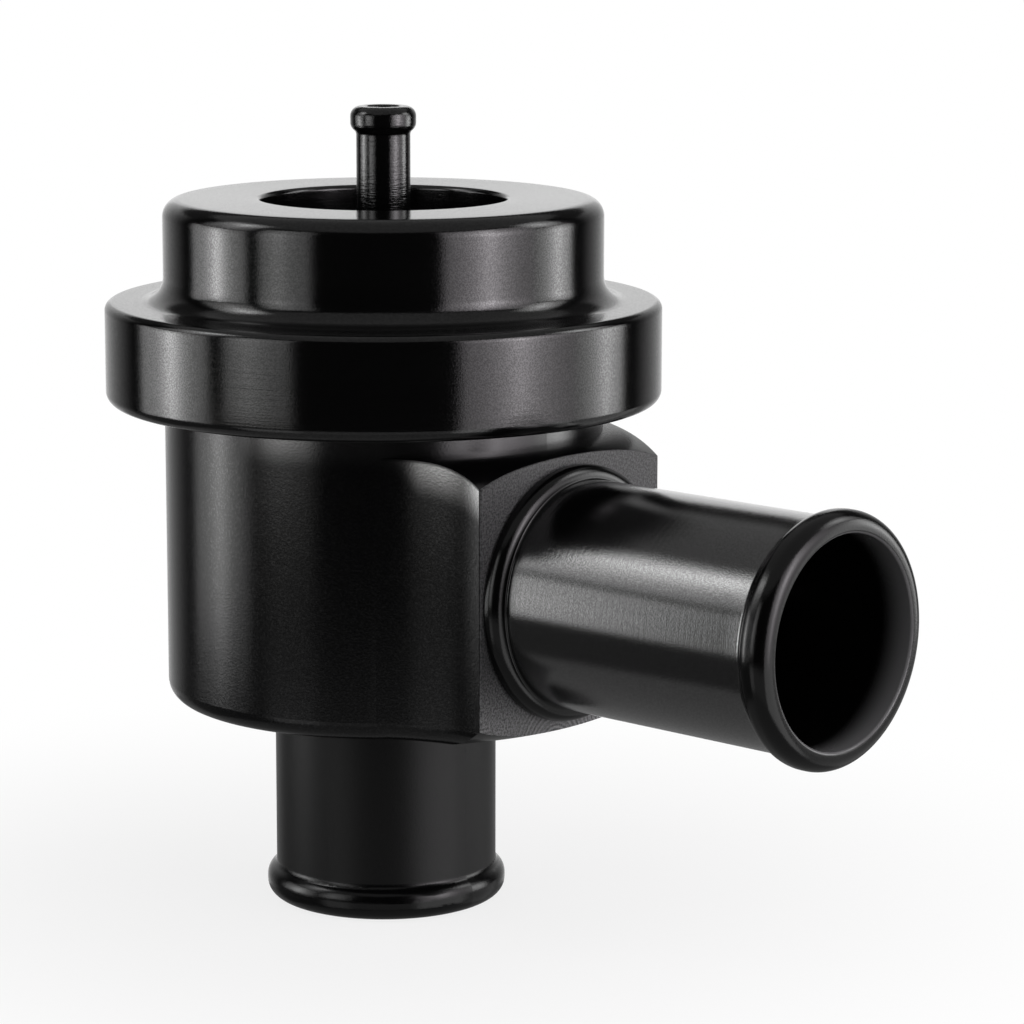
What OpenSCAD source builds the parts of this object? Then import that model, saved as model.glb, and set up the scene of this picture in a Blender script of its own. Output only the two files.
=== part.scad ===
/* [Hose tails] */
// Outside diameter of the inlet and outlet tubes
hose_d = 25; // [19:0.5:32]
// Wall of the inlet and outlet tubes
hose_wall = 1.25; // [0.8:0.05:2]
// Height of a hose bead over its tube
bead_proud = 1.05; // [0.6:0.05:1.5]
// Radius of a hose bead's rounding
bead_round = 1.7; // [1.6:0.05:2.4]
// Straight land in the middle of a hose bead
bead_land = 0.45; // [0.1:0.05:1]
// Fillet between a hose bead and its tube
bead_fillet = 0.8; // [0.3:0.1:1.5]
// Round on the inner lip of a tube's mouth
lip_round = 0.35; // [0.2:0.05:0.6]
// Length of the inlet tube below the body
inlet_len = 23.3; // [16:0.1:40]
// Length of the outlet tube from the port face to its end
outlet_len = 37.3; // [20:0.1:60]

/* [Outlet collar] */
// Height of the collar over the outlet tube
collar_proud = 1.5; // [1.2:0.1:3]
// Thickness of the collar on the port face
collar_t = 1.9; // [1.8:0.1:4]
// Round on the collar's front edge
collar_round = 1.25; // [0.2:0.05:2.5]
// Bevel on the collar's back edge
collar_bevel = 0.25; // [0.1:0.05:0.4]
// Fillet between the collar and the outlet tube
collar_fillet = 0.2; // [0.2:0.05:0.8]
// Section of the outlet's O-ring
port_ring_d = 1; // [0.8:0.1:1.2]

/* [Body] */
// Outside diameter of the body and of its neck
body_d = 49; // [46:0.5:60]
// Wall of the body around the piston
body_wall = 3; // [2.6:0.1:4]
// Wall above and below the outlet port
port_wall = 3; // [2:0.1:6]
// Drop of the chamber's floor under the outlet port
floor_drop = 0.3; // [0.1:0.1:0.8]
// Round on the body's lower edge
body_round = 2.2; // [0.5:0.1:3]
// Distance that the port face stands out from the round body
port_stand = 3.6; // [2.5:0.1:8]
// Land on the port face at each side of the collar
port_land = 0.4; // [0.2:0.1:2]
// Bevel on the upright edges of the port face
port_bevel = 0.2; // [0.1:0.05:1]
// Radius of the rounding on the port's top and underside
shoulder_r = 10; // [4:0.5:12]
// Flat shoulder between the neck and that rounding
shoulder_land = 0.4; // [0.2:0.1:2]

/* [Cap] */
// Neck left in sight between the body and the cap
neck_gap = 2.6; // [1:0.1:6]
// Wall of the cap's flange around the neck
flange_wall = 6.5; // [4:0.1:10]
// Metal over the neck's end, up to the top of the flange
flange_roof = 1.65; // [1:0.05:3]
// Round on the flange's lower edge
flange_low_round = 1.4; // [0.5:0.1:2.5]
// Round on the flange's upper edge
flange_top_round = 0.95; // [0.3:0.05:2]
// Wall of the cap's upper drum
cap_wall = 2.7; // [2:0.1:4]
// Roof of the cap over the spring
cap_roof = 3; // [2.5:0.1:5]
// Round on the cap's upper edge
cap_round = 2; // [0.5:0.1:2.4]
// Fillet between drum and flange
cap_fillet = 2.7; // [0.5:0.1:4]
// Depth of the recess in the cap's top
recess_depth = 9; // [7:0.1:9.5]
// Floor of the recess
recess_floor = 2.6; // [2:0.1:3.5]
// Wall of the recess
recess_wall = 1.9; // [1.5:0.1:2.5]
// Round on the recess's rim
recess_round = 0.5; // [0.3:0.1:1.4]
// Section of the cap's O-ring
cap_ring_d = 1.6; // [1:0.1:1.8]

/* [Vacuum nipple] */
// Outside diameter of the nipple
nipple_d = 6; // [4:0.5:8]
// Wall of the nipple
nipple_wall = 1.3; // [0.8:0.1:1.8]
// Height of the nipple's bead over its tube
nipple_bead_proud = 0.65; // [0.3:0.05:1]
// Radius of the rounding on the nipple's bead
nipple_bead_round = 1.1; // [0.9:0.05:1.2]
// Straight land in the middle of the nipple's bead
nipple_bead_land = 0.7; // [0.3:0.1:2]
// Height of the nipple over the cap's top
nipple_rise = 10.1; // [8:0.1:20]
// Width across the flats of the nipple's hexagon
hex_w = 11; // [10:0.5:13]
// Height of the nipple's hexagon
hex_h = 3.5; // [2.5:0.1:5]
// Diameter of the nipple's threaded shank
shank_d = 8; // [6:0.5:9]
// Thickness of the washer under the hexagon
nipple_washer_t = 0.8; // [0.5:0.1:1.2]

/* [Piston] */
// Travel of the piston from shut to wide open
lift = 9; // [5:0.5:12]
// Height of the piston's head
head_h = 15.9; // [12:0.1:20]
// Floor of the piston's head under the spring
head_floor = 2.5; // [2:0.1:4]
// Edge of the head below its first O-ring groove
head_edge = 0.75; // [0.5:0.05:1.5]
// Land between the two O-ring grooves
ring_land = 1; // [0.6:0.1:2]
// Play of a piston O-ring along its groove
ring_play = 0.3; // [0.1:0.05:0.5]
// Section of the piston's O-rings
ring_d = 1.8; // [1.2:0.1:2.2]
// Wall of the piston's head behind the grooves
piston_wall = 1.25; // [1:0.05:2]
// Wall of the piston's stem
stem_wall = 2.7; // [1.5:0.1:4]
// Metal between the stem's bore and the seal
stem_floor = 6.5; // [5:0.1:8]
// Fillet between stem and head
stem_fillet = 2; // [0.5:0.1:3]

/* [Seat and seal] */
// Height of the seat's lip over the chamber's floor
seat_h = 0.8; // [0.5:0.1:1.5]
// Width of the seat's lip
seat_w = 1.35; // [0.8:0.05:2]
// Thickness of the seal
seal_t = 2; // [1.5:0.1:3]
// Height of the seal out of the stem's end
seal_proud = 0.5; // [0.3:0.1:0.8]
// Reach of the seal past the seat's lip
seal_over = 0.8; // [0.5:0.1:1.5]
// Rim of the stem around the seal
stem_rim = 0.75; // [0.6:0.05:2]
// Thickness of the seal's retainer
retainer_t = 1.5; // [1:0.1:2]
// Gap between retainer and inlet bore
retainer_gap = 1.75; // [1:0.05:3]
// Thread diameter of the seal's screw
screw_d = 5; // [4:0.5:6]
// Diameter of the screw's head
screw_head_d = 9.5; // [8:0.5:11]
// Height of the screw's head
screw_head_h = 2.75; // [2.5:0.05:3.5]
// Slope of the screw's head, taken off its radius at the top
screw_head_slope = 1.4; // [0.5:0.1:1.8]
// Width across the flats of the screw's socket
socket_w = 3; // [2:0.5:3.5]
// Depth of the screw's socket
socket_depth = 1.65; // [1:0.05:2]

/* [Spring] */
// Wire of the spring
wire_d = 1.8; // [1.2:0.1:2.4]
// Turns of the spring
spring_turns = 5.5; // [4.5:0.5:7.5]
// Gap in the spring's closed end turns
end_gap = 0.18; // [0.1:0.02:0.3]
// Thickness of the washer under the spring
spring_washer_t = 0.8; // [0.5:0.1:1.2]
// Thickness of the preload shim over the spring
shim_t = 0.8; // [0.4:0.1:1.6]

/* [Clearances] */
// Gap around a seated ring or washer
seat_clearance = 0.05; // [0.02:0.01:0.1]
// Gap around a thread, drawn as a plain round
thread_clearance = 0.05; // [0.02:0.01:0.1]
// Gap between a piston O-ring and the chamber's wall
ring_clearance = 0.05; // [0.02:0.01:0.1]
// Gap between the piston's head and the chamber's wall
piston_clearance = 0.1; // [0.05:0.01:0.2]
// Gap around the piston in the cap
pocket_clearance = 0.3; // [0.2:0.05:0.6]
// Gap between the spring and the walls beside it
spring_clearance = 0.5; // [0.3:0.05:0.8]
// Gap left at the end of the piston's travel
stop_clearance = 0.2; // [0.1:0.05:0.5]

/* [Hidden] */
$fn = 96;

black = "#1c1c1e";
rubber = "#121212";
steel = "#a9abae";
bare = "#b9bbbf";
eps = 0.01;
blend = 0.001;
over = 1;
over_angle = 1;

// Hose tails
hose_r = hose_d / 2;
bore_r = hose_r - hose_wall;
collar_r = hose_r + collar_proud;
// The round on the collar's front edge ends short of the fillet at its foot and of the back bevel
collar_flat = 0.05;
front_round = min(collar_round, collar_proud - collar_fillet - collar_flat, collar_t - 2 * collar_bevel);

// Body, with z = 0 at its underside, where the inlet hose stops
body_r = body_d / 2;
chamber_r = body_r - body_wall;
body_h = hose_d + 2 * port_wall;
axis_z = body_h / 2;
face_x = body_r + port_stand;
boss_w = collar_r + port_land;
// Each hollow flank leaves the port face square and runs just inside the round body
flank_sink = 0.06;
flank_ease = 0.25;
flank_round = body_round + flank_ease;
join_r = body_r - flank_sink;
flank_r = (pow(face_x, 2) + pow(boss_w, 2) - pow(join_r, 2)) / (2 * (join_r - boss_w));
flank_y = boss_w + flank_r;
flank_angle = atan2(flank_y, face_x);
far_x = face_x + over;
shoulder_x = body_r + shoulder_land;
floor_z = port_wall - floor_drop;
port_r = hose_r + thread_clearance;
spigot_x = chamber_r + pocket_clearance;

// Seat and seal
seat_z = floor_z + seat_h;
seat_r = bore_r + seat_w;
seal_z = seat_z + seat_clearance;
seal_r = seat_r + seal_over;
stem_r = seal_r + seat_clearance + stem_rim;
stem_z = seal_z + seal_proud;
stem_floor_z = seal_z + seal_t + stem_floor;
retainer_r = bore_r - retainer_gap;
screw_r = screw_d / 2;
screw_head_r = screw_head_d / 2;
screw_head_z = seal_z - retainer_t - screw_head_h;

// Piston
ring_r = ring_d / 2;
groove_w = ring_d + ring_play;
ring_x = chamber_r - ring_clearance - ring_r;
groove_x = ring_x - ring_r - seat_clearance;
head_z = axis_z + port_r + seat_clearance;
head_r = chamber_r - piston_clearance;
ring_low_z = head_z + head_edge + groove_w / 2;
ring_high_z = ring_low_z + groove_w + ring_land;
head_floor_z = head_z + head_floor;
rim_z = head_z + head_h;
cup_r = groove_x - piston_wall;

// Spring
spring_r = cup_r - spring_clearance;
coil_r = spring_r - wire_d / 2;
spring_in_r = spring_r - wire_d;

// Cap
neck_z = ring_high_z + groove_w / 2 + lift + stop_clearance;
flange_z = body_h + neck_gap;
flange_top_z = neck_z + flange_roof;
flange_r = body_r + flange_wall;
pocket_r = chamber_r + pocket_clearance;
pocket_z = rim_z + lift + stop_clearance;
cap_r = pocket_r + cap_wall;
cap_z = pocket_z + cap_roof;
cup_out_r = spring_in_r - spring_clearance;
recess_r = cup_out_r - recess_wall;
recess_z = cap_z - recess_depth;
cap_ring_r = cap_ring_d / 2;
rebate = cap_ring_d + 2 * seat_clearance;

// Vacuum nipple
nipple_r = nipple_d / 2;
shank_r = shank_d / 2;
hex_r = hex_w / (2 * cos(30));
hex_z = recess_z + nipple_washer_t;
nipple_z = cap_z + nipple_rise;

// Spring stack
spring_low_z = head_floor_z + spring_washer_t + seat_clearance;
spring_high_z = pocket_z - shim_t;
shim_gap = 2 * seat_clearance;

// Piece that rounds an outer corner when cut away, or fills an inner one when added
module corner_piece(r, reach = 0) {
    difference() {
        translate([-reach, -reach])
            square(r + reach);
        translate([r, r])
            circle(r);
    }
}

// Half section of a hose tail's wall, with its mouth at y = 0 and its bead rounded into it
module tail_section(tube_r, inner_r, proud, round_r, land, fillet, lip, length) {
    bead_r = tube_r + proud;
    arc_x = bead_r - round_r;
    low_y = round_r + land;
    fillet_x = tube_r + fillet;
    fillet_y = low_y + sqrt(pow(round_r + fillet - blend, 2) - pow(fillet_x - arc_x, 2));
    difference() {
        intersection() {
            union() {
                square([arc_x, length]);
                translate([0, low_y])
                    square([tube_r, length - low_y]);
                translate([0, round_r])
                    square([bead_r, land]);
                for (y = [round_r, low_y])
                    translate([arc_x, y])
                        circle(round_r);
                difference() {
                    polygon([[arc_x, low_y], [fillet_x, fillet_y], [arc_x, fillet_y]]);
                    translate([fillet_x, fillet_y])
                        circle(fillet);
                }
            }
            translate([inner_r, 0])
                square([bead_r - inner_r, length]);
        }
        translate([inner_r, 0])
            corner_piece(lip, eps);
    }
}

module o_ring(x, z, r) {
    translate([0, 0, z])
        rotate_extrude()
            translate([x, 0])
                circle(r, $fn = 32);
}

module flat_ring(inner_r, outer_r, z, t) {
    translate([0, 0, z])
        difference() {
            cylinder(r = outer_r, h = t);
            translate([0, 0, -over])
                cylinder(r = inner_r, h = t + 2 * over);
        }
}

// Plan of the port between its flanks
module port_plan() {
    for (side = [0, 1])
        mirror([0, side])
            difference() {
                polygon([
                    [0, 0],
                    [body_r * cos(flank_angle), body_r * sin(flank_angle)],
                    [face_x, flank_y],
                    [far_x, flank_y],
                    [far_x, 0]
                ]);
                translate([face_x, flank_y])
                    circle(flank_r);
            }
}

// Cut that carries the body's rounded lower edge along one flank
module flank_edge() {
    translate([face_x, flank_y, 0])
        rotate([0, 0, 180 + flank_angle - over_angle])
            rotate_extrude(angle = 90 - flank_angle + 2 * over_angle)
                translate([flank_r, 0])
                    difference() {
                        translate([-over, -over])
                            square(flank_round + over);
                        translate([flank_round, flank_round])
                            circle(flank_round + eps);
                    }
}

// Half section of the turned blank, with its top and underside rounded
module blank_section() {
    square([shoulder_x, body_h]);
    translate([0, shoulder_r])
        square([shoulder_x + shoulder_r, body_h - 2 * shoulder_r]);
    for (z = [shoulder_r, body_h - shoulder_r])
        intersection() {
            translate([shoulder_x, z])
                circle(shoulder_r);
            square([shoulder_x + shoulder_r, body_h]);
        }
}

// Port that stands out of the round body
module port_block() {
    difference() {
        intersection() {
            translate([0, 0, -over])
                linear_extrude(body_h + 2 * over)
                    intersection() {
                        port_plan();
                        translate([0, -flank_y])
                            square([face_x, 2 * flank_y]);
                    }
            rotate_extrude()
                blank_section();
        }
        for (side = [0, 1])
            mirror([0, side, 0])
                flank_edge();
        for (side = [-1, 1])
            translate([face_x, side * boss_w, -over])
                rotate([0, 0, side * 45])
                    translate([-port_bevel / sqrt(2), -boss_w / 2, 0])
                        cube([boss_w, boss_w, body_h + 2 * over]);
    }
}

// Half section of the turned outside: round body with its neck, and the inlet tube
module body_section() {
    difference() {
        square([body_r, neck_z]);
        translate([body_r, 0])
            mirror([1, 0])
                corner_piece(body_round, eps);
        // Step for the cap's O-ring
        translate([body_r - rebate, neck_z - rebate])
            square(rebate + over);
    }
    translate([0, -inlet_len])
        tail_section(hose_r, bore_r, bead_proud, bead_round, bead_land, bead_fillet,
                     lip_round, inlet_len + floor_z);
}

// Half section of the bored inside, from the inlet up through the seat to the chamber
module chamber_section() {
    translate([0, -inlet_len / 2])
        square([bore_r, inlet_len]);
    translate([seat_r, floor_z])
        square([chamber_r - seat_r, neck_z]);
    translate([0, seat_z])
        square([chamber_r, neck_z]);
}

module body() {
    ring_seat = port_ring_d + 2 * seat_clearance;
    color(black)
        difference() {
            union() {
                rotate_extrude()
                    body_section();
                port_block();
            }
            rotate_extrude()
                chamber_section();
            translate([stem_r, 0, axis_z])
                rotate([0, 90, 0])
                    cylinder(r = port_r, h = face_x);
            translate([face_x - ring_seat, 0, axis_z])
                rotate([0, 90, 0])
                    cylinder(r = port_r + ring_seat, h = face_x);
        }
}

module outlet_fitting() {
    color(black)
        translate([face_x + outlet_len, 0, axis_z])
            rotate([0, -90, 0])
                rotate_extrude()
                    difference() {
                        union() {
                            tail_section(hose_r, bore_r, bead_proud, bead_round, bead_land, bead_fillet,
                                         lip_round, face_x + outlet_len - spigot_x);
                            translate([bore_r, outlet_len - collar_t])
                                square([collar_r - bore_r, collar_t]);
                            translate([hose_r, outlet_len - collar_t])
                                rotate(-90)
                                    corner_piece(collar_fillet);
                        }
                        translate([collar_r, outlet_len - collar_t])
                            rotate(90)
                                corner_piece(front_round, eps);
                        polygon([
                            [collar_r - collar_bevel, outlet_len],
                            [collar_r + eps, outlet_len - collar_bevel - eps],
                            [collar_r + eps, outlet_len]
                        ]);
                    }
}

module outlet_o_ring() {
    color(rubber)
        translate([face_x - port_ring_d / 2 - seat_clearance, 0, axis_z])
            rotate([0, 90, 0])
                o_ring(port_r + seat_clearance + port_ring_d / 2, 0, port_ring_d / 2);
}

// Half section of the cap before its hollows are cut
module cap_outline() {
    difference() {
        translate([0, flange_z])
            square([flange_r, flange_top_z - flange_z]);
        translate([flange_r, flange_z])
            rotate(90)
                corner_piece(flange_low_round, eps);
        translate([flange_r, flange_top_z])
            rotate(180)
                corner_piece(flange_top_round, eps);
    }
    difference() {
        translate([0, flange_z])
            square([cap_r, cap_z - flange_z]);
        translate([cap_r, cap_z])
            rotate(180)
                corner_piece(cap_round, eps);
    }
    translate([cap_r, flange_top_z])
        corner_piece(cap_fillet);
}

module top_cap() {
    color(black)
        rotate_extrude()
            difference() {
                cap_outline();
                // Recess in the top, with a rounded rim
                translate([0, recess_z])
                    square([recess_r, recess_depth + over]);
                translate([recess_r, cap_z])
                    rotate(-90)
                        corner_piece(recess_round, eps);
                // Socket that screws onto the neck
                translate([0, flange_z - over])
                    square([body_r + thread_clearance, neck_z - flange_z + over]);
                // Pocket for the piston's rim and the spring
                translate([0, flange_z])
                    square([pocket_r, recess_z - recess_floor - flange_z]);
                translate([cup_out_r, flange_z])
                    square([pocket_r - cup_out_r, pocket_z - flange_z]);
                // Hole for the nipple's shank
                translate([0, flange_z])
                    square([shank_r + thread_clearance, recess_depth + cap_z - flange_z]);
            }
}

module cap_o_ring() {
    color(rubber)
        o_ring(body_r - seat_clearance - cap_ring_r, neck_z - seat_clearance - cap_ring_r, cap_ring_r);
}

module vacuum_nipple() {
    color(black)
        difference() {
            union() {
                translate([0, 0, nipple_z])
                    mirror([0, 0, 1])
                        rotate_extrude()
                            tail_section(nipple_r, nipple_r - nipple_wall, nipple_bead_proud,
                                         nipple_bead_round, nipple_bead_land, nipple_bead_proud,
                                         nipple_bead_proud / 2, nipple_z - hex_z);
                translate([0, 0, hex_z])
                    cylinder(r = hex_r, h = hex_h, $fn = 6);
                translate([0, 0, recess_z - recess_floor])
                    cylinder(r = shank_r, h = recess_floor + nipple_washer_t + eps);
            }
            translate([0, 0, recess_z - recess_floor - over])
                cylinder(r = nipple_r - nipple_wall, h = recess_floor + nipple_washer_t + hex_h + 2 * over);
        }
}

module nipple_washer() {
    color(bare)
        flat_ring(shank_r + seat_clearance, hex_w / 2 + nipple_washer_t, recess_z, nipple_washer_t);
}

module preload_shim() {
    color(steel)
        flat_ring(cup_out_r + shim_gap, spring_r, pocket_z - shim_t, shim_t);
}

// Coil with closed end turns, swept as rings of points along its centre line
spring_sides = 8;
rings_per_turn = 20;
end_pitch = wire_d + end_gap;
coil_rise = spring_high_z - spring_low_z - wire_d;
open_pitch = (coil_rise - 2 * end_pitch) / (spring_turns - 2);
function coil_z(t) =
    t < 1 ? t * end_pitch
    : t > spring_turns - 1 ? coil_rise - (spring_turns - t) * end_pitch
    : end_pitch + (t - 1) * open_pitch;
function coil_point(t, side) =
    let (x = coil_r + wire_d / 2 * cos(360 * side / spring_sides))
    [
        x * cos(360 * t),
        x * sin(360 * t),
        spring_low_z + wire_d / 2 + coil_z(t) + wire_d / 2 * sin(360 * side / spring_sides)
    ];

module spring() {
    last = spring_turns * rings_per_turn;
    points = [for (i = [0 : last]) for (side = [0 : spring_sides - 1]) coil_point(i / rings_per_turn, side)];
    sides = [
        for (i = [0 : last - 1]) for (side = [0 : spring_sides - 1])
            let (next = (side + 1) % spring_sides, a = i * spring_sides, b = a + spring_sides)
            [a + side, a + next, b + next, b + side]
    ];
    first_end = [for (side = [spring_sides - 1 : -1 : 0]) side];
    last_end = [for (side = [0 : spring_sides - 1]) last * spring_sides + side];
    color(steel)
        polyhedron(points = points, faces = concat(sides, [first_end, last_end]));
}

module spring_washer() {
    color(steel)
        flat_ring(cup_out_r, spring_r + spring_clearance - shim_gap, head_floor_z, spring_washer_t);
}

module piston() {
    color(bare)
        rotate_extrude()
            difference() {
                union() {
                    translate([0, stem_z])
                        square([stem_r, head_z - stem_z + head_floor]);
                    translate([0, head_z])
                        square([head_r, head_h]);
                    translate([stem_r, head_z])
                        rotate(-90)
                            corner_piece(stem_fillet);
                }
                // Cup for the spring and the hollow stem
                translate([0, head_floor_z])
                    square([cup_r, head_h]);
                translate([0, stem_floor_z])
                    square([stem_r - stem_wall, head_z]);
                // Grooves of the two O-rings
                for (z = [ring_low_z, ring_high_z])
                    translate([groove_x, z - groove_w / 2])
                        square([head_r, groove_w]);
                // Pocket of the seal and the thread of its screw
                translate([0, stem_z - over])
                    square([seal_r + seat_clearance, seal_t - seal_proud + over]);
                translate([0, stem_z])
                    square([screw_r + thread_clearance, stem_floor_z]);
            }
}

module piston_o_ring_lower() {
    color(rubber)
        o_ring(ring_x, ring_low_z, ring_r);
}

module piston_o_ring_upper() {
    color(rubber)
        o_ring(ring_x, ring_high_z, ring_r);
}

module seat_seal() {
    color(rubber)
        flat_ring(screw_r + seat_clearance, seal_r, seal_z, seal_t);
}

module seal_retainer() {
    color(steel)
        flat_ring(screw_r + seat_clearance, retainer_r, seal_z - retainer_t, retainer_t);
}

module seal_screw() {
    color(steel)
        difference() {
            union() {
                translate([0, 0, screw_head_z])
                    cylinder(r1 = screw_head_r - screw_head_slope, r2 = screw_head_r, h = screw_head_h);
                translate([0, 0, seal_z - retainer_t - eps])
                    cylinder(r = screw_r, h = retainer_t + seal_t + stem_floor);
            }
            translate([0, 0, screw_head_z - over])
                cylinder(r = socket_w / (2 * cos(30)), h = over + socket_depth, $fn = 6);
        }
}

body();
outlet_fitting();
outlet_o_ring();
top_cap();
cap_o_ring();
vacuum_nipple();
nipple_washer();
preload_shim();
spring();
spring_washer();
piston();
piston_o_ring_lower();
piston_o_ring_upper();
seat_seal();
seal_retainer();
seal_screw();
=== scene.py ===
"""Looks for the blow off valve: materials, turned pieces, the coil spring, the studio and the camera.

Lengths in the tables below are in millimetres in the frame of the CAD model: Z is the valve's axis,
X points along the outlet, and Z = 0 is the underside of the body.
"""

import math

import bpy
from mathutils import Matrix, Vector


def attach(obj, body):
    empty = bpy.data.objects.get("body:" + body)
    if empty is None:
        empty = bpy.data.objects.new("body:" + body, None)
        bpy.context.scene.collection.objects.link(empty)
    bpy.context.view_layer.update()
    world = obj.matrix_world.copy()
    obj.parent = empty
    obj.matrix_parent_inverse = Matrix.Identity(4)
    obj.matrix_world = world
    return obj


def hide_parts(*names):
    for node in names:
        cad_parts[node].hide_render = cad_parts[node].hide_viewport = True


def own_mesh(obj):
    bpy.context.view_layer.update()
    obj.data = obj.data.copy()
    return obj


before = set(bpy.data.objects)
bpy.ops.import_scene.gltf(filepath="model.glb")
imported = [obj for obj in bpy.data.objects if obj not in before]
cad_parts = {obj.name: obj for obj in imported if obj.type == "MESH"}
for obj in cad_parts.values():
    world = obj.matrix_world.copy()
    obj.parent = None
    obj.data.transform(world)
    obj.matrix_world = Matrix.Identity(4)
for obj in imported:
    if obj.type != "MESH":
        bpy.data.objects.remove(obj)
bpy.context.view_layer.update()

MM = 0.001
scene = bpy.context.scene

# Sizes taken over from the part's source
OUTLET_Z = 15.5
BODY_R = 24.5
BODY_TOP = 31.0
FACE_X = 28.1
SHOULDER_R = 10.0
SHOULDER_X = 24.9
FLOOR_Z = -23.3
HOSE_R = 12.5
BORE_R = 11.25
BEAD = {"proud": 1.05, "round_r": 1.7, "land": 0.45, "fillet": 0.8, "lip": 0.35}
OUTLET_END = 65.4
SPIGOT_X = 21.8
COLLAR_R = 14.0
COLLAR_X = 30.0
COLLAR_ROUND = 1.25
COLLAR_BEVEL = 0.25
COLLAR_FILLET = 0.2
FLANGE_R = 31.0
FLANGE_LOW = 33.6
FLANGE_TOP = 44.9
CAP_R = 24.5
CAP_TOP = 56.2
RECESS_R = 13.65
RECESS_Z = 47.2
RECESS_UNDER = 44.6
POCKET_R = 21.8
POCKET_IN = 15.55
POCKET_TOP = 53.2
SOCKET_R = 24.55
NECK_TOP = 43.25
NIPPLE_R = 3.0
NIPPLE_BORE = 1.7
NIPPLE_TOP = 66.3
NIPPLE_BEAD = {"proud": 0.65, "round_r": 1.1, "land": 0.7, "fillet": 0.65, "lip": 0.325}
SHANK_R = 4.0
SHANK_HOLE = 4.05
HEX_FLAT = 5.5
HEX_LOW = 48.0
HEX_TOP = 51.5
SPRING_LOW = 31.45
SPRING_HIGH = 52.4
SPRING_R = 16.95
WIRE_R = 0.9
SPRING_TURNS = 5.5

# Rounds of the cap's edges, from its foot to its recess
FLANGE_LOW_ROUND = 1.4
FLANGE_TOP_ROUND = 0.95
STEP_FILLET = 2.7
CAP_ROUND = 2.0
RECESS_ROUND = 0.5

# The black film and the tools' marks in it
FILM_DARK = (0.00128, 0.00128, 0.001312, 1)
FILM_LIGHT = (0.002, 0.002, 0.00208, 1)
# Painted light: a paler grey just inside the outlet's mouth, in place of light caught on the inner wall
MOUTH_PAINTED_LIGHT = (0.15, 0.15, 0.152, 1)
GRAIN_PER_MM = 6.0
LAYER_FADE = 0.3
MOUTH_REACH = 4.2
MARK_DEPTH = 0.03
FEED_DEPTH = 0.01
FEED_PITCH = 0.75
MILL_PITCH = 0.55
MILL_Y = -2.6
MILL_Z = -1.4
MILL_NEAR = 3.5
MILL_FAR = 8.0
LAYER_STOP = 3.7

# The camera that was fitted to the photograph
CAMERA_AT = (296.8, -302.59, 100.02)
CAMERA_RIGHT = (0.7369, 0.676, 0.0018)
CAMERA_UP = (-0.1257, 0.1344, 0.9829)
CAMERA_LENS = 134.61
CAMERA_SENSOR = 36.0
CAMERA_AZIMUTH = -45.55


class Graph:
    """Adds nodes to one tree. A plain value or another node's socket may feed any input."""

    def __init__(self, tree):
        self.tree = tree
        tree.nodes.clear()

    def feed(self, socket, value):
        if isinstance(value, bpy.types.NodeSocket):
            self.tree.links.new(value, socket)
        else:
            socket.default_value = value

    def node(self, kind, inputs=None, **settings):
        made = self.tree.nodes.new(kind)
        for name, value in settings.items():
            setattr(made, name, value)
        for name, value in (inputs or {}).items():
            self.feed(made.inputs[name], value)
        return made

    def math(self, operation, *values, clamp=False):
        made = self.node("ShaderNodeMath", operation=operation, use_clamp=clamp)
        for index, value in enumerate(values):
            self.feed(made.inputs[index], value)
        return made.outputs[0]

    def span(self, value, low, high, out_low=0.0, out_high=1.0, smooth=True):
        """Carries value from low..high to out_low..out_high, held at both ends."""
        made = self.node("ShaderNodeMapRange", clamp=True)
        made.interpolation_type = "SMOOTHSTEP" if smooth else "LINEAR"
        for name, part in (
            ("Value", value),
            ("From Min", low),
            ("From Max", high),
            ("To Min", out_low),
            ("To Max", out_high),
        ):
            self.feed(made.inputs[name], part)
        return made.outputs["Result"]

    def noise(self, vector, scale, detail, roughness):
        made = self.node(
            "ShaderNodeTexNoise",
            {
                "Vector": vector,
                "Scale": scale,
                "Detail": detail,
                "Roughness": roughness,
            },
        )
        return made.outputs["Fac"]

    def combine(self, x, y, z):
        return self.node("ShaderNodeCombineXYZ", {"X": x, "Y": y, "Z": z}).outputs[0]

    def position_mm(self):
        """The point in the part's own frame, in millimetres, as three sockets."""
        point = self.node("ShaderNodeTexCoord").outputs["Object"]
        scaled = self.node("ShaderNodeVectorMath", {0: point, "Scale": 1 / MM}, operation="SCALE")
        split = self.node("ShaderNodeSeparateXYZ", {0: scaled.outputs[0]})
        return split.outputs["X"], split.outputs["Y"], split.outputs["Z"]

    def hypot(self, a, b):
        return self.math("SQRT", self.math("ADD", self.math("MULTIPLY", a, a), self.math("MULTIPLY", b, b)))

    def bump(self, height, strength, distance_mm, normal=None):
        inputs = {"Height": height, "Strength": strength, "Distance": distance_mm * MM}
        if normal is not None:
            inputs["Normal"] = normal
        return self.node("ShaderNodeBump", inputs).outputs["Normal"]

    def mix_colour(self, factor, first, second):
        made = self.node("ShaderNodeMix", data_type="RGBA")
        self.feed(made.inputs["Factor"], factor)
        self.feed(made.inputs[6], first)
        self.feed(made.inputs[7], second)
        return made.outputs[2]


def new_material(name):
    material = bpy.data.materials.new(name)
    material.use_nodes = True
    return material, Graph(material.node_tree)


def surface(graph, **inputs):
    """Ends a material in one Principled shader. Underscores stand for the spaces in its sockets' names."""
    shader = graph.node("ShaderNodeBsdfPrincipled")
    for name, value in inputs.items():
        graph.feed(shader.inputs[name.replace("_", " ")], value)
    out = graph.node("ShaderNodeOutputMaterial")
    graph.tree.links.new(shader.outputs[0], out.inputs["Surface"])


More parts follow.
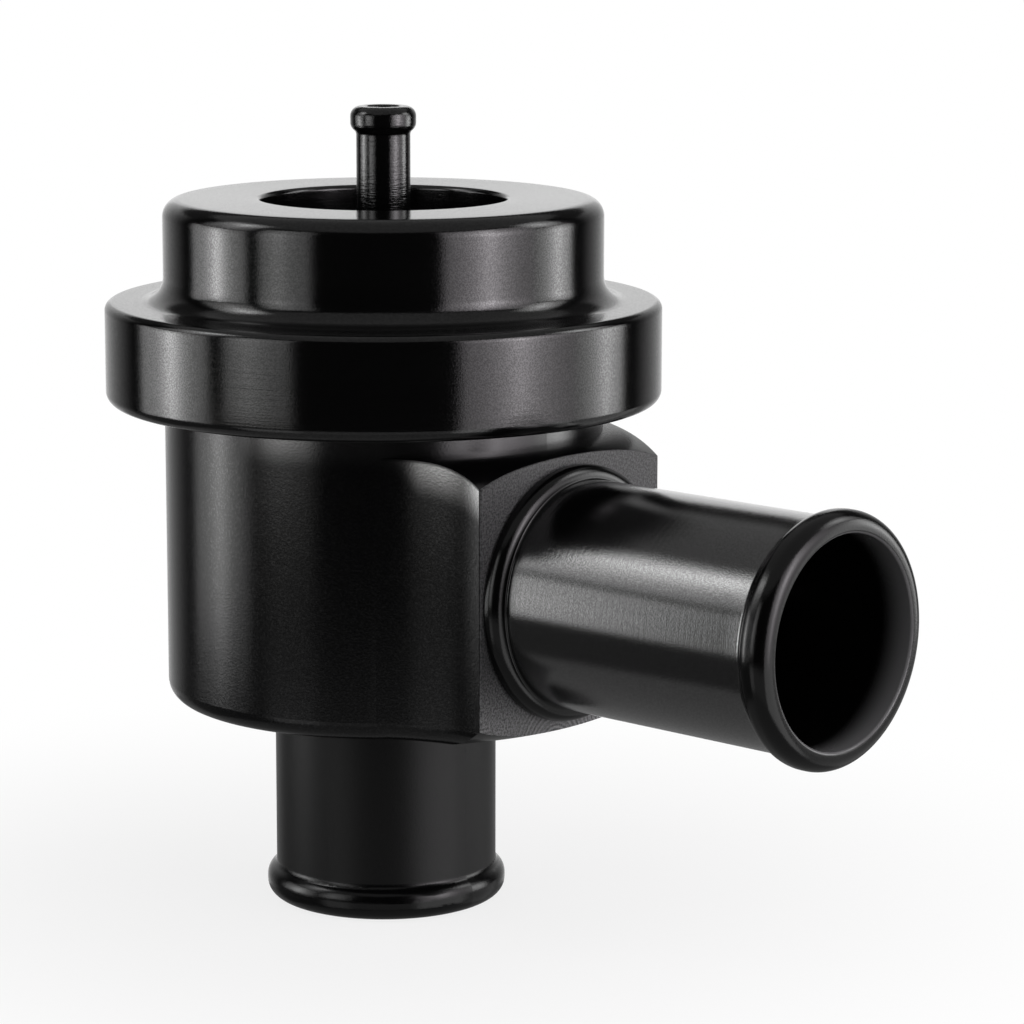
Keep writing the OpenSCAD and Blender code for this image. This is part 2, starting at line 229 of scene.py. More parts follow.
def turned_coordinates(graph, axis, along_per_mm, around):
    """A vector that runs fast along a turned piece's section and slowly around it: its tool marks."""
    x, y, z = graph.position_mm()
    if axis == "X":
        height, a, b = x, y, graph.math("SUBTRACT", z, OUTLET_Z)
    else:
        height, a, b = z, x, y
    radius = graph.math("MAXIMUM", graph.hypot(a, b), 0.01)
    path = graph.math("MULTIPLY_ADD", radius, 1.37, height)
    turned = graph.combine(
        graph.math("MULTIPLY", path, along_per_mm),
        graph.math("MULTIPLY", graph.math("DIVIDE", a, radius), around),
        graph.math("MULTIPLY", graph.math("DIVIDE", b, radius), around),
    )
    return turned, height, radius


def turned_black(
    name, axis, ior, roughness, stretch, lines, grit, gloss, gloss_ior, feed=0.0, between=None, mouth=None
):
    """Black anodised metal off the lathe: a dark film with fine tool marks around the axis and a grain.

    stretch is how far the marks draw out the highlights. lines and grit are the strengths of the marks and
    of the grain, and feed that of the even marks that the tool's feed leaves. gloss is how much of the film's
    upper layer the grain leaves, from its hollows to its tops. Where two heights are given in between, that
    layer lies only from one to the other. Just inside a mouth, given by its radius and height, a paler grey
    is
    painted on: painted light that stands in for light caught on the inner wall.
    """
    material, graph = new_material(name)
    coarse, height, radius = turned_coordinates(graph, axis, 1.6, 0.9)
    fine, _, _ = turned_coordinates(graph, axis, 4.5, 2.2)
    x, y, z = graph.position_mm()
    grain = graph.noise(graph.combine(x, y, z), GRAIN_PER_MM, 2.0, 0.6)
    marks = graph.noise(coarse, 1.0, 3.0, 0.55)
    hair = graph.noise(fine, 1.0, 2.0, 0.6)
    mixed = graph.math("MULTIPLY_ADD", hair, 0.8, graph.math("MULTIPLY", marks, 0.4))
    rough = graph.span(mixed, 0.35, 0.85, roughness * 0.86, roughness * 1.16)
    rough = graph.math("MULTIPLY_ADD", graph.math("SUBTRACT", grain, 0.5), 0.05, rough)
    tint = graph.mix_colour(marks, FILM_DARK, FILM_LIGHT)
    # Painted light inside the mouth: the bore's first millimetres are painted paler grey, as if lit
    if mouth:
        mouth_r, mouth_height = mouth
        inside = graph.span(radius, mouth_r + 0.05, mouth_r + LAYER_FADE, 1.0, 0.0)
        near = graph.span(height, mouth_height - MOUTH_REACH, mouth_height - LAYER_FADE)
        tint = graph.mix_colour(graph.math("MULTIPLY", inside, near), tint, MOUTH_PAINTED_LIGHT)
    layer = graph.span(grain, 0.36, 0.66, gloss[0], gloss[1])
    if between:
        first, last = between
        layer = graph.math("MULTIPLY", layer, graph.span(height, first, first + LAYER_FADE))
        layer = graph.math("MULTIPLY", layer, graph.span(height, last - LAYER_FADE, last, 1.0, 0.0))
    normal = graph.bump(mixed, lines, MARK_DEPTH)
    normal = graph.bump(grain, grit, MARK_DEPTH, normal)
    if feed:
        wave = graph.math("SINE", graph.math("MULTIPLY", height, 2 * math.pi / FEED_PITCH))
        normal = graph.bump(wave, feed, FEED_DEPTH, normal)
    tangent = graph.node("ShaderNodeTangent", direction_type="RADIAL", axis=axis)
    surface(
        graph,
        Base_Color=tint,
        Roughness=rough,
        IOR=ior,
        Anisotropic=stretch,
        Anisotropic_Rotation=0.25,
        Tangent=tangent.outputs[0],
        Coat_Weight=layer,
        Coat_Roughness=0.12,
        Coat_IOR=gloss_ior,
        Coat_Normal=normal,
        Normal=normal,
    )
    return material


def upper_band(graph, x, z, radius):
    """How smooth the body is along its upper edges.

    The band is wide on the hollow flanks. On the round body it is the neck and the edge below it.
    """
    out = graph.math("SUBTRACT", radius, SHOULDER_X)
    drop = graph.math("SUBTRACT", SHOULDER_R ** 2, graph.math("MULTIPLY", out, out))
    fall = graph.math("SQRT", graph.math("MAXIMUM", drop, 0.0))
    barrel = graph.math("ADD", fall, BODY_TOP - SHOULDER_R)
    edge = graph.math("MINIMUM", barrel, BODY_TOP)
    below = graph.math("SUBTRACT", edge, z)

    def from_round_to_flank(on_round, on_flank):
        return graph.span(radius, BODY_R + 0.1, BODY_R + 1.6, on_round, on_flank)

    start = from_round_to_flank(-1.8, 0.0)
    reach = from_round_to_flank(1.8, 4.4)
    shine = from_round_to_flank(0.36, 1.0)
    band = graph.math("MULTIPLY", graph.span(below, start, reach, 1.0, 0.0), shine)
    band = graph.math("MULTIPLY", band, graph.span(x, 1.5, 5.5))
    on_neck = graph.span(radius, BODY_R + 0.1, BODY_R + 0.2, 1.0, 0.0)
    right_neck = graph.math("MULTIPLY", graph.span(x, 16.0, 19.0), on_neck)
    band = graph.math("MULTIPLY", band, graph.math("MULTIPLY_ADD", right_neck, -0.6, 1.0))
    barrel_shine = graph.span(below, 0.05, 0.35, 0.15, 1.0)
    round_part = graph.span(radius, BODY_R + 0.05, BODY_R + 0.2, 1.0, 0.0)
    return graph.math("MULTIPLY", band, graph.math("MAXIMUM", barrel_shine, round_part))


def milled_arcs(graph, y, z):
    """The cutter's marks on the port face, as a height, and the distance from the point that they circle."""
    swing = graph.hypot(graph.math("SUBTRACT", y, MILL_Y), graph.math("SUBTRACT", z, MILL_Z))
    path = graph.combine(graph.math("MULTIPLY", swing, 3.6), 0.0, 0.0)
    uneven = graph.noise(path, 1.0, 1.0, 0.4)
    wave = graph.math("SINE", graph.math("MULTIPLY", swing, 2 * math.pi / MILL_PITCH))
    return graph.math("MULTIPLY_ADD", wave, 0.22, uneven), swing


def milled_tint_and_sheen(graph, z, grain, arcs, swing):
    """The port face's colour: specks of bare metal, its arcs painted paler as a painted sheen, paler towards
    the foot.
    """
    depth = graph.span(swing, MILL_NEAR, MILL_FAR, 1.6, 0.2)
    # Painted sheen: the cutter's arcs are painted paler, most near the point that they circle, as the light
    # they catch
    swirl_sheen = graph.math("MULTIPLY", graph.math("SUBTRACT", arcs, 0.5), depth)
    share = graph.span(swing, MILL_NEAR, MILL_FAR + 1.0, 0.45, 1.0)
    spots = graph.math("MULTIPLY", graph.span(grain, 0.36, 0.64, -0.5, 0.5), share)
    speckle = graph.math("ADD", graph.math("ADD", spots, 0.5), swirl_sheen, clamp=True)
    speck = graph.mix_colour(speckle, (0.02, 0.02, 0.0205, 1), (0.095, 0.095, 0.097, 1))
    speck_low = graph.mix_colour(speckle, (0.055, 0.055, 0.056, 1), (0.36, 0.36, 0.365, 1))
    return graph.mix_colour(graph.span(z, 0.5, 10.0), speck_low, speck)


def body_black(name):
    """Black anodised body: satin with a fine grain, smooth along its upper edges, and a milled port face."""
    material, graph = new_material(name)
    x, y, z = graph.position_mm()
    radius = graph.hypot(x, y)
    point = graph.combine(x, y, z)
    grain = graph.noise(point, 4.2, 3.0, 0.62)
    fine = graph.noise(point, 11.0, 2.0, 0.5)
    cloud = graph.noise(point, 0.35, 3.0, 0.5)
    turned, _, _ = turned_coordinates(graph, "Z", 3.2, 1.6)
    lines = graph.noise(turned, 1.0, 3.0, 0.6)
    face = graph.span(x, FACE_X - 0.16, FACE_X - 0.12)
    plain = graph.math("SUBTRACT", 1.0, face)
    tube = graph.math("MULTIPLY", graph.span(z, -0.4, 0.0, 1.0, 0.0), graph.span(z, -19.6, -18.9))
    arcs, swing = milled_arcs(graph, y, z)

    band = graph.math("MULTIPLY", upper_band(graph, x, z, radius), plain)
    glints = graph.math("MULTIPLY", graph.span(grain, 0.45, 0.72, 0.0, 0.07), plain)
    glints = graph.math("MULTIPLY", glints, graph.span(z, -1.0, 0.5))

    rough = graph.span(grain, 0.25, 0.75, 0.16, 0.2)
    rough = graph.math("MULTIPLY_ADD", graph.math("SUBTRACT", cloud, 0.5), 0.05, rough)
    rough = graph.math("MULTIPLY_ADD", tube, 0.22, rough)
    milled = graph.span(grain, 0.3, 0.7, 0.42, 0.52)
    rough = graph.math("ADD", graph.math("MULTIPLY", rough, plain), graph.math("MULTIPLY", milled, face))

    tint = graph.mix_colour(grain, (0.001, 0.001, 0.0012, 1), (0.0026, 0.0026, 0.0028, 1))
    # The port face takes its specks and the painted sheen of its milling arcs
    tint = graph.mix_colour(face, tint, milled_tint_and_sheen(graph, z, grain, arcs, swing))
    normal = graph.bump(grain, 0.4, 0.025)
    normal = graph.bump(fine, 0.4, 0.008, normal)
    milling = graph.math("MULTIPLY", face, graph.span(swing, MILL_NEAR, MILL_FAR, 0.9, 0.15))
    normal = graph.bump(arcs, milling, 0.06, normal)
    polish = graph.bump(grain, 0.4, 0.03, graph.bump(lines, 0.3, 0.006))
    surface(
        graph,
        Base_Color=tint,
        Roughness=rough,
        IOR=1.44,
        Coat_Weight=graph.math("MAXIMUM", band, glints),
        Coat_Roughness=0.18,
        Coat_IOR=4.0,
        Coat_Normal=polish,
        Normal=normal,
    )
    return material


def bare_aluminium(name, axis="Z"):
    """Machined aluminium: clean metal with lathe rings and a little uneven lustre."""
    material, graph = new_material(name)
    turned, _, _ = turned_coordinates(graph, axis, 3.0, 1.4)
    rings = graph.noise(turned, 1.0, 4.0, 0.6)
    x, y, z = graph.position_mm()
    cloud = graph.noise(graph.combine(x, y, z), 0.3, 3.0, 0.5)
    tint = graph.mix_colour(cloud, (0.56, 0.57, 0.585, 1), (0.72, 0.725, 0.735, 1))
    tangent = graph.node("ShaderNodeTangent", direction_type="RADIAL", axis=axis)
    surface(
        graph,
        Base_Color=tint,
        Metallic=1.0,
        Roughness=graph.span(rings, 0.3, 0.7, 0.22, 0.36),
        Anisotropic=0.5,
        Anisotropic_Rotation=0.25,
        Tangent=tangent.outputs[0],
        Normal=graph.bump(rings, 0.5, 0.012),
    )
    return material


def steel(name):
    """Plain steel: greyer than the aluminium, with a faint mottle and fine scratches."""
    material, graph = new_material(name)
    x, y, z = graph.position_mm()
    point = graph.combine(x, y, z)
    mottle = graph.noise(point, 0.8, 4.0, 0.6)
    scratch = graph.noise(graph.combine(x, graph.math("MULTIPLY", y, 9.0), z), 1.4, 4.0, 0.7)
    surface(
        graph,
        Base_Color=graph.mix_colour(mottle, (0.34, 0.345, 0.355, 1), (0.5, 0.505, 0.515, 1)),
        Metallic=1.0,
        Roughness=graph.span(scratch, 0.3, 0.75, 0.22, 0.42),
        Normal=graph.bump(scratch, 0.35, 0.01),
    )
    return material


def rubber(name):
    """Black seal rubber: dull, with a fine moulded grain and a slight bloom."""
    material, graph = new_material(name)
    x, y, z = graph.position_mm()
    point = graph.combine(x, y, z)
    grain = graph.noise(point, 6.0, 3.0, 0.6)
    bloom = graph.noise(point, 0.5, 3.0, 0.5)
    surface(
        graph,
        Base_Color=graph.mix_colour(bloom, (0.010, 0.010, 0.010, 1), (0.024, 0.024, 0.025, 1)),
        Roughness=graph.span(grain, 0.3, 0.7, 0.5, 0.68),
        IOR=1.5,
        Normal=graph.bump(grain, 0.4, 0.02),
    )
    return material


def dress(material, *nodes):
    for name in nodes:
        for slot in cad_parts[name].material_slots:
            slot.material = material


dress(body_black("anodised_body"), "body")
dress(bare_aluminium("machined_piston"), "piston", "nipple_washer")
dress(steel("plain_steel"), "preload_shim", "spring_washer", "seal_retainer", "seal_screw")
dress(
    rubber("seal_rubber"),
    "outlet_o_ring",
    "cap_o_ring",
    "piston_o_ring_lower",
    "piston_o_ring_upper",
    "seat_seal",
)


# Turned pieces: closed sections of (radius, height, sharp) points, turned into even quads

ARC_STEP = 6.0
LONGEST_QUAD = 2.0


def arc(centre, radius, start, end):
    """Points along an arc, with angles in degrees from the radius towards the height."""
    steps = max(2, math.ceil(abs(end - start) / ARC_STEP))
    points = []
    for step in range(steps + 1):
        angle = math.radians(start + (end - start) * step / steps)
        points.append((centre[0] + radius * math.cos(angle), centre[1] + radius * math.sin(angle), False))
    return points


def corner(r, z):
    return [(r, z, True)]


def tail_end(tube_r, bore_r, end, bead):
    """The outside of a tube's beaded end and the lip of its mouth, which faces up at the height end."""
    crest = tube_r + bead["proud"]
    round_r = bead["round_r"]
    fillet = bead["fillet"]
    lip = bead["lip"]
    arc_r = crest - round_r
    low_z = end - round_r - bead["land"]
    fillet_r = tube_r + fillet
    fillet_z = low_z - math.sqrt((round_r + fillet) ** 2 - (fillet_r - arc_r) ** 2)
    lean = math.degrees(math.atan2(low_z - fillet_z, arc_r - fillet_r))
    return [
        *arc((fillet_r, fillet_z), fillet, 180, lean),
        *arc((arc_r, low_z), round_r, lean - 180, 0)[1:],
        *arc((arc_r, end - round_r), round_r, 0, 90),
        *arc((bore_r + lip, end - lip), lip, 90, 180),
    ]


def spread(section, longest):
    """The section as a closed loop, with long straight runs cut into shorter ones."""
    points = []
    for index, point in enumerate(section):
        points.append(point)
        following = section[(index + 1) % len(section)]
        gap = math.hypot(following[0] - point[0], following[1] - point[1])
        pieces = max(1, math.ceil(gap / longest))
        for piece in range(1, pieces):
            share = piece / pieces
            points.append((
                point[0] + (following[0] - point[0]) * share,
                point[1] + (following[1] - point[1]) * share,
                False,
            ))
    return points


def turn(name, section, axis, material, node, turn_steps, hexagon=None):
    """Turns a closed section about Z, or about the outlet's axis, in place of the CAD node.

    Points whose radius is that of a hexagon's corners are drawn in to its flats.
    """
    points = spread(section, LONGEST_QUAD)
    count = len(points)
    vertices = []
    for step in range(turn_steps):
        degrees = 360 * step / turn_steps
        angle = math.radians(degrees)
        flat = HEX_FLAT / math.cos(math.radians(degrees % 60 - 30))
        for radius, height, _ in points:
            reach = flat if radius == hexagon else radius
            a = reach * math.cos(angle)
            b = reach * math.sin(angle)
            if axis == "X":
                vertices.append((height * MM, a * MM, (OUTLET_Z + b) * MM))
            else:
                vertices.append((a * MM, b * MM, height * MM))
    faces = []
    for step in range(turn_steps):
        following = (step + 1) % turn_steps
        for index in range(count):
            after = (index + 1) % count
            faces.append((
                step * count + index,
                following * count + index,
                following * count + after,
                step * count + after,
            ))
    mesh = bpy.data.meshes.new(name)
    mesh.from_pydata(vertices, [], faces)
    mesh.update()
    mesh.polygons.foreach_set("use_smooth", [True] * len(faces))
    for edge in mesh.edges:
        first_step, first = divmod(edge.vertices[0], count)
        _, second = divmod(edge.vertices[1], count)
        if first == second:
            edge.use_edge_sharp = points[first][2]
        elif hexagon is not None and first_step % (turn_steps // 6) == 0:
            edge.use_edge_sharp = points[first][0] == hexagon and points[second][0] == hexagon
    made = bpy.data.objects.new(name, mesh)
    scene.collection.objects.link(made)
    made.data.materials.append(material)
    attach(made, "valve_body")
    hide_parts(node)


cap_section = [
    *corner(SOCKET_R, FLANGE_LOW),
    *arc((FLANGE_R - FLANGE_LOW_ROUND, FLANGE_LOW + FLANGE_LOW_ROUND), FLANGE_LOW_ROUND, -90, 0),
    *arc((FLANGE_R - FLANGE_TOP_ROUND, FLANGE_TOP - FLANGE_TOP_ROUND), FLANGE_TOP_ROUND, 0, 90),
    *arc((CAP_R + STEP_FILLET, FLANGE_TOP + STEP_FILLET), STEP_FILLET, 270, 180),
    *arc((CAP_R - CAP_ROUND, CAP_TOP - CAP_ROUND), CAP_ROUND, 0, 90),
    *arc((RECESS_R + RECESS_ROUND, CAP_TOP - RECESS_ROUND), RECESS_ROUND, 90, 180),
    *corner(RECESS_R, RECESS_Z),
    *corner(SHANK_HOLE, RECESS_Z),
    *corner(SHANK_HOLE, RECESS_UNDER),
    *corner(POCKET_IN, RECESS_UNDER),
    *corner(POCKET_IN, POCKET_TOP),
    *corner(POCKET_R, POCKET_TOP),
    *corner(POCKET_R, NECK_TOP),
    *corner(SOCKET_R, NECK_TOP),
]
outlet_section = [
    *corner(BORE_R, SPIGOT_X),
    *corner(HOSE_R, SPIGOT_X),
    *corner(HOSE_R, FACE_X),
    *corner(COLLAR_R - COLLAR_BEVEL, FACE_X),
    *corner(COLLAR_R, FACE_X + COLLAR_BEVEL),
    *arc((COLLAR_R - COLLAR_ROUND, COLLAR_X - COLLAR_ROUND), COLLAR_ROUND, 0, 90),
    *arc((HOSE_R + COLLAR_FILLET, COLLAR_X + COLLAR_FILLET), COLLAR_FILLET, 270, 180),
    *tail_end(HOSE_R, BORE_R, OUTLET_END, BEAD),
]
HEX_CORNER = HEX_FLAT / math.cos(math.radians(30))
nipple_section = [
    *corner(NIPPLE_BORE, RECESS_UNDER),
    *corner(SHANK_R, RECESS_UNDER),
    *corner(SHANK_R, HEX_LOW),
    *corner(HEX_CORNER, HEX_LOW),
    *corner(HEX_CORNER, HEX_TOP),
    *corner(NIPPLE_R, HEX_TOP),
    *tail_end(NIPPLE_R, NIPPLE_BORE, NIPPLE_TOP, NIPPLE_BEAD),
]
cap_black = turned_black(
    "anodised_cap",
    "Z",
    ior=1.53,
    roughness=0.12,
    stretch=0.7,
    lines=0.3,
    grit=0.25,
    gloss=(0.0, 0.36),
    gloss_ior=1.75,
)
outlet_black = turned_black(
    "anodised_outlet",
    "X",
    ior=1.46,
    roughness=0.14,
    stretch=0.6,
    lines=0.12,
    grit=0.35,
    gloss=(0.55, 0.85),
    gloss_ior=2.25,
    feed=0.06,
    between=(COLLAR_X, OUTLET_END - LAYER_STOP),
    mouth=(BORE_R, OUTLET_END),
)
nipple_black = turned_black(
    "anodised_nipple",
    "Z",
    ior=1.54,
    roughness=0.14,
    stretch=0.5,
    lines=1.2,
    grit=0.4,
    gloss=(0.0, 0.4),
    gloss_ior=1.75,
)
# 130 steps put no corner on the Y axis, so the flange stays inside the solid's own box
turn("turned_cap", cap_section, "Z", cap_black, "top_cap", turn_steps=130)
turn("turned_outlet", outlet_section, "X", outlet_black, "outlet_fitting", turn_steps=180)
turn("turned_nipple", nipple_section, "Z", nipple_black, "vacuum_nipple", turn_steps=120, hexagon=HEX_CORNER)


def spring_wire(name):
    """Drawn spring steel: dark and smooth, with streaks that run along the wire."""
    material, graph = new_material(name)
    turned, _, _ = turned_coordinates(graph, "Z", 6.0, 1.2)
    streak = graph.noise(turned, 1.0, 3.0, 0.6)
    surface(
        graph,
        Base_Color=graph.mix_colour(streak, (0.30, 0.30, 0.31, 1), (0.46, 0.46, 0.47, 1)),
        Metallic=1.0,
        Roughness=graph.span(streak, 0.3, 0.7, 0.24, 0.36),
        Normal=graph.bump(streak, 0.3, 0.01),
    )
    return material


def coil_height(turn):
    """Height of the wire's centre after so many turns: the first and last turn lie closed on the next."""
    low = SPRING_LOW + WIRE_R * 0.5
    high = SPRING_HIGH - WIRE_R * 0.5
    closed = 1.0
    closed_gap = 1.025
    pitch_closed = closed_gap * 2 * WIRE_R
    active = SPRING_TURNS - 2 * closed
    climb = (high - low - 2 * closed * pitch_closed) / active
    if turn < closed:
        return low + pitch_closed * turn
    if turn > SPRING_TURNS - closed:
        return high - pitch_closed * (SPRING_TURNS - turn)
    return low + pitch_closed * closed + climb * (turn - closed)


def smooth_height(turn, reach=0.16, samples=9):
    """The same height, with the change of pitch spread over a short arc."""
    total = 0.0
    for index in range(samples):
        shift = reach * (2 * index / (samples - 1) - 1)
        total += coil_height(min(max(turn + shift, 0.0), SPRING_TURNS))
    return total / samples


def make_spring():
    """A compression spring with closed ends that are ground flat."""
    steps_per_turn = 72
    sides = 20
    steps = int(SPRING_TURNS * steps_per_turn)
    vertices = []
    faces = []
    for step in range(steps + 1):
        turn = SPRING_TURNS * step / steps
        angle = 2 * math.pi * turn
        outward = Vector((math.cos(angle), math.sin(angle), 0))
        centre = outward * SPRING_R + Vector((0, 0, smooth_height(turn)))
        for side in range(sides):
            lean = 2 * math.pi * side / sides
            point = centre + outward * (WIRE_R * math.cos(lean)) + Vector((0, 0, WIRE_R * math.sin(lean)))
            point.z = min(max(point.z, SPRING_LOW), SPRING_HIGH)
            vertices.append(point * MM)
    for step in range(steps):
        for side in range(sides):
            a = step * sides + side
            b = step * sides + (side + 1) % sides
            faces.append((a, b, b + sides, a + sides))
    faces.append(tuple(range(sides)))
    faces.append(tuple(steps * sides + side for side in reversed(range(sides))))
    mesh = bpy.data.meshes.new("coil_spring")
    mesh.from_pydata(vertices, [], faces)
    mesh.update()
    for polygon in mesh.polygons:
        polygon.use_smooth = len(polygon.vertices) == 4
    made = bpy.data.objects.new("coil_spring", mesh)
    scene.collection.objects.link(made)
    made.data.materials.append(spring_wire("spring_wire"))
    return made


spring = make_spring()
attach(spring, "valve_body")
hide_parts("spring")
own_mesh(spring)


# Studio

FLOOR_R = 110.0
FLOOR_PLAIN_R = 25.0
FLOOR_WHITE_R = 102.0
FLOOR_WHITE = 0.8
WORLD_LIGHT = 0.35
PANEL_R = 300.0
BOUNCE_R = 310.0
ROOM_R = 700.0
ROOM_LOW = -500.0
ROOM_HIGH = 600.0
WINDOW_LOW = -240.0
WINDOW_HIGH = 330.0
WINDOW_EDGE = 168.0
FADE_EDGE = 124.0


def sheet_mesh(name, rings):
    """A mesh of quads between rows of points of equal length, with its rows and columns as UVs."""
    columns = len(rings[0])
    vertices = [Vector(point) * MM for ring in rings for point in ring]
    faces = []
    for row in range(len(rings) - 1):
        for column in range(columns - 1):
            first = row * columns + column
            faces.append((first, first + 1, first + columns + 1, first + columns))
    mesh = bpy.data.meshes.new(name)
    mesh.from_pydata(vertices, [], faces)
    layer = mesh.uv_layers.new(name="UVMap")
    for loop in mesh.loops:
        row, column = divmod(loop.vertex_index, columns)
        layer.data[loop.index].uv = (row / (len(rings) - 1), column / (columns - 1))
    mesh.update()
    made = bpy.data.objects.new(name, mesh)
    scene.collection.objects.link(made)
    made.visible_camera = False
    made.visible_shadow = False
    return made


def around(radius, angle, height):
    """A point at an angle from the camera's direction, positive to the right of the picture."""
    turn = math.radians(CAMERA_AZIMUTH + angle)
    return (radius * math.cos(turn), radius * math.sin(turn), height)


def upright_strip(name, radius, start, end, low, high, steps=24):
    rings = []
    for step in range(steps + 1):
        angle = start + (end - start) * step / steps
        rings.append([around(radius, angle, low), around(radius, angle, high)])
    return sheet_mesh(name, rings)


def level_ring(name, height, steps=48):
    """A closed disc across the room at one height."""
    rings = []
    for step in range(steps + 1):
        angle = 360 * step / steps
        rings.append([(0, 0, height), around(ROOM_R, angle, height)])
    return sheet_mesh(name, rings)


def softbox(name, sides, heights, peak, edge, reach, colour=(1, 1, 1, 1)):
    """A lamp panel. It is hot at one spot and fades across (degrees) and up and down (mm) from it."""
    start, hot_angle, end = sides
    low, hot_height, high = heights
    made = upright_strip(name, PANEL_R, start, end, low, high)
    material, graph = new_material(name)
    split = graph.node("ShaderNodeSeparateXYZ", {0: graph.node("ShaderNodeTexCoord").outputs["UV"]})
    across = graph.math("MULTIPLY_ADD", split.outputs["X"], end - start, start - hot_angle)
    across = graph.math("DIVIDE", graph.math("ABSOLUTE", across), -reach[0])
    upward = graph.math("MULTIPLY_ADD", split.outputs["Y"], high - low, low - hot_height)
    upward = graph.math("DIVIDE", graph.math("ABSOLUTE", upward), -reach[1])
    hot = graph.math("POWER", math.e, graph.math("ADD", across, upward))
    level = graph.math("MULTIPLY_ADD", hot, peak - edge, edge)
    front = graph.math("SUBTRACT", 1.0, graph.node("ShaderNodeNewGeometry").outputs["Backfacing"])
    strength = graph.math("MULTIPLY", level, front)
    glow = graph.node("ShaderNodeEmission", {"Color": colour, "Strength": strength})
    out = graph.node("ShaderNodeOutputMaterial")
    graph.tree.links.new(glow.outputs[0], out.inputs["Surface"])
    made.data.materials.append(material)


def card(made, level, far_level=None):
    """Cloth that only reflections see, so that the dark film mirrors a dark studio.

    Where far_level is given, it fades to that at its far side.
    """
    made.visible_diffuse = False
    material, graph = new_material(made.name)
    strength = level
    if far_level is not None:
        split = graph.node("ShaderNodeSeparateXYZ", {0: graph.node("ShaderNodeTexCoord").outputs["UV"]})
        strength = graph.math("MULTIPLY_ADD", split.outputs["X"], far_level - level, level)
    glow = graph.node("ShaderNodeEmission", {"Color": (1, 1, 1, 1), "Strength": strength})
    out = graph.node("ShaderNodeOutputMaterial")
    graph.tree.links.new(glow.outputs[0], out.inputs["Surface"])
    made.data.materials.append(material)


ROSE = (1, 0.95, 0.99, 1)
WARM = (1, 0.98, 0.93, 1)

# Each lamp has its left side, hot spot and right side in degrees, then its foot, hot spot and top in mm,
# the levels at its hot spot and far from it, and how far the hot spot reaches
softbox("lamp_left_low", (-112.5, -92, -72.5), (-54, 20, 118), 7.6, 1.0, (5.5, 110))
softbox("lamp_left_high", (-106, -86, -72), (135, 290, 363), 6.3, 0.5, (10, 75))
softbox("lamp_front_left", (-64.5, -54, -36.2), (-14, 70, 215), 2.6, 0.5, (10, 160))
softbox("lamp_front_left_foot", (-76, -50, -35), (-30, -14, -14), 1.3, 0.1, (30, 7), WARM)
softbox("lamp_front_right", (29.5, 54, 81), (-34, 95, 229), 7.6, 0.7, (11, 130), ROSE)
softbox("lamp_right_low", (81, 98, 110), (-42, 40, 125), 5.8, 0.7, (8, 110))
softbox("lamp_right_high", (80, 92, 107), (140, 208, 300), 5.0, 0.6, (9, 90))

card(upright_strip("cloth_front", ROOM_R, -FADE_EDGE, FADE_EDGE, ROOM_LOW, ROOM_HIGH, 64), 0.01)
card(upright_strip("fade_left", ROOM_R, -FADE_EDGE, -WINDOW_EDGE, WINDOW_LOW, WINDOW_HIGH), 0.02, 0.75)
card(upright_strip("fade_right", ROOM_R, FADE_EDGE, WINDOW_EDGE, WINDOW_LOW, WINDOW_HIGH), 0.02, 0.75)
card(upright_strip("cloth_rear_high", ROOM_R, FADE_EDGE, 360 - FADE_EDGE, WINDOW_HIGH, ROOM_HIGH), 0.04)
card(upright_strip("cloth_rear_low", ROOM_R, FADE_EDGE, 360 - FADE_EDGE, ROOM_LOW, WINDOW_LOW), 0.2)
card(level_ring("cloth_above", ROOM_HIGH), 0.25)
card(level_ring("cloth_below", ROOM_LOW), 0.2)
# Cards below the lamps that reflections see: sides in degrees, foot and top in mm, and level
BOUNCE_CARDS = (
    ("bounce_left", -130, -62, -260, -60, 0.07),
    ("bounce_right", 84, 128, -260, -42, 0.45),
    ("bounce_front_left", -66, -36.2, -200, -72, 0.6),
    ("bounce_front_left_high", -66, -36.2, -72, -45, 0.1),
    ("bounce_front", -36.2, 29.5, -200, -66, 0.28),
    ("bounce_front_right", 29.5, 81, -200, -34, 1.2),
)
for card_name, left, right, low, high, level in BOUNCE_CARDS:
    card(upright_strip(card_name, BOUNCE_R, left, right, low, high), level)


def view_share(graph):
    """1 for rays from the camera, off gloss and through glass; 0 for the light that rays carry on."""
    path = graph.node("ShaderNodeLightPath").outputs
    seen = graph.math("MAXIMUM", path["Is Camera Ray"], path["Is Glossy Ray"])
    return graph.math("MAXIMUM", seen, path["Is Transmission Ray"])


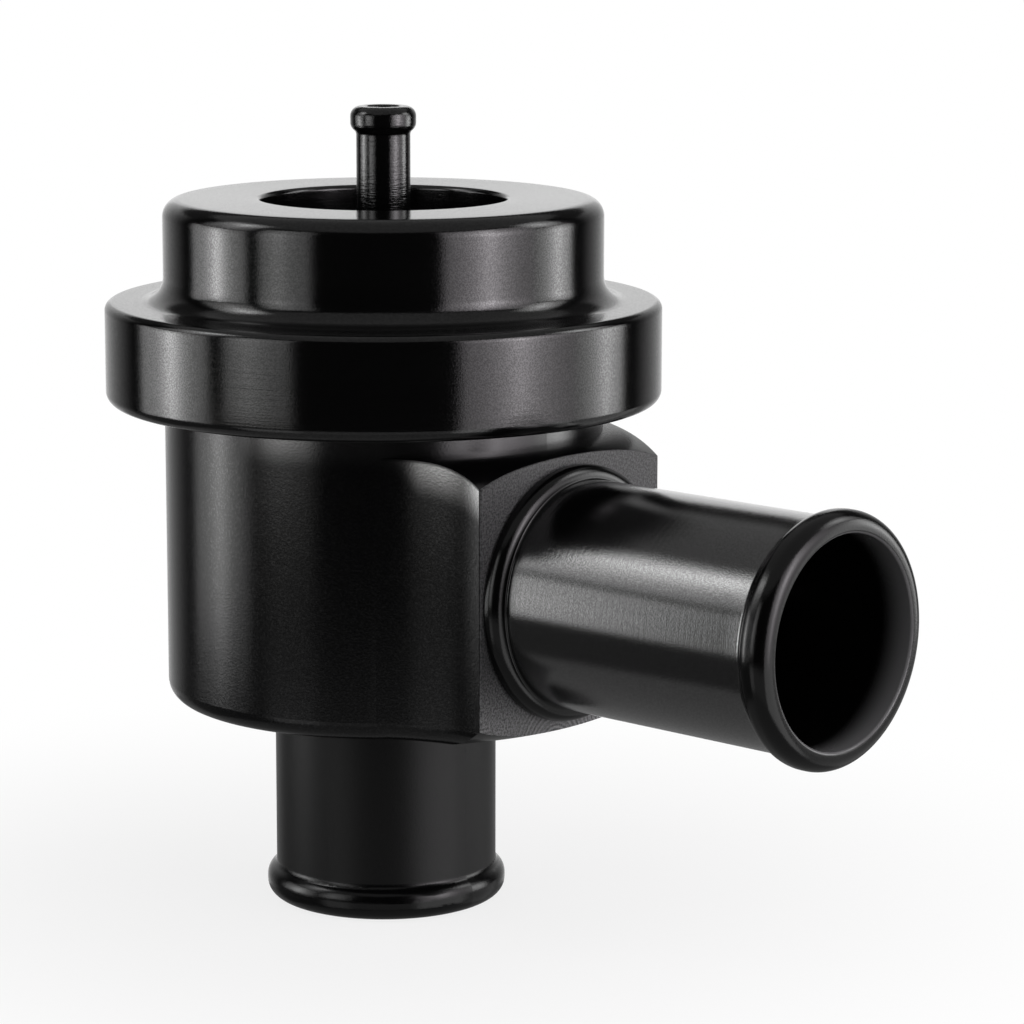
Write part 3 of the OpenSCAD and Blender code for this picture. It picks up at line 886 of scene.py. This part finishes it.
def make_floor():
    """A small pale disc that takes the valve's shadow and fades to the white around it."""
    rings = 24
    sides = 96
    vertices = [Vector((0, 0, FLOOR_Z * MM))]
    faces = []
    for ring in range(1, rings + 1):
        for side in range(sides):
            turn = 2 * math.pi * side / sides
            reach = FLOOR_R * ring / rings
            vertices.append(Vector((reach * math.cos(turn), reach * math.sin(turn), FLOOR_Z)) * MM)
    for side in range(sides):
        faces.append((0, 1 + side, 1 + (side + 1) % sides))
    for ring in range(rings - 1):
        for side in range(sides):
            a = 1 + ring * sides + side
            b = 1 + ring * sides + (side + 1) % sides
            faces.append((a, a + sides, b + sides, b))
    mesh = bpy.data.meshes.new("floor")
    mesh.from_pydata(vertices, [], faces)
    mesh.update()
    made = bpy.data.objects.new("floor", mesh)
    scene.collection.objects.link(made)
    material, graph = new_material("pale_floor")
    x, y, _ = graph.position_mm()
    rim = graph.span(graph.hypot(x, y), FLOOR_PLAIN_R, FLOOR_WHITE_R)
    white = graph.node("ShaderNodeEmission", {"Color": (1, 1, 1, 1), "Strength": view_share(graph)})
    pale = graph.node("ShaderNodeBsdfDiffuse", {"Color": (0.9, 0.9, 0.9, 1)})
    share = graph.math("MULTIPLY_ADD", rim, 1.0 - FLOOR_WHITE, FLOOR_WHITE)
    mix = graph.node("ShaderNodeMixShader", {0: share, 1: pale.outputs[0], 2: white.outputs[0]})
    # From below the floor is clear, so that it doesn't hide the valve
    under = graph.node("ShaderNodeNewGeometry").outputs["Backfacing"]
    clear = graph.node("ShaderNodeBsdfTransparent")
    sided = graph.node("ShaderNodeMixShader", {0: under, 1: mix.outputs[0], 2: clear.outputs[0]})
    out = graph.node("ShaderNodeOutputMaterial")
    graph.tree.links.new(sided.outputs[0], out.inputs["Surface"])
    made.data.materials.append(material)
    made.visible_glossy = False


make_floor()


def make_world():
    """White all round to the eye and in reflections, and a low even light on the object."""
    world = bpy.data.worlds.new("studio")
    scene.world = world
    world.use_nodes = True
    graph = Graph(world.node_tree)
    strength = graph.span(view_share(graph), 0.0, 1.0, WORLD_LIGHT, 1.0, smooth=False)
    world.cycles.sampling_method = "NONE"
    light = graph.node("ShaderNodeBackground", {"Color": (1, 1, 1, 1), "Strength": strength})
    out = graph.node("ShaderNodeOutputWorld")
    graph.tree.links.new(light.outputs[0], out.inputs["Surface"])


make_world()


def make_camera():
    data = bpy.data.cameras.new("camera")
    data.lens = CAMERA_LENS
    data.sensor_width = CAMERA_SENSOR
    data.sensor_fit = "HORIZONTAL"
    data.clip_start = 0.01
    data.clip_end = 10.0
    made = bpy.data.objects.new("camera", data)
    scene.collection.objects.link(made)
    right = Vector(CAMERA_RIGHT).normalized()
    up = Vector(CAMERA_UP)
    up = (up - right * up.dot(right)).normalized()
    back = right.cross(up)
    turn = Matrix((right, up, back)).transposed()
    made.matrix_world = Matrix.Translation(Vector(CAMERA_AT) * MM) @ turn.to_4x4()
    scene.camera = made


make_camera()
scene.view_settings.view_transform = "Standard"
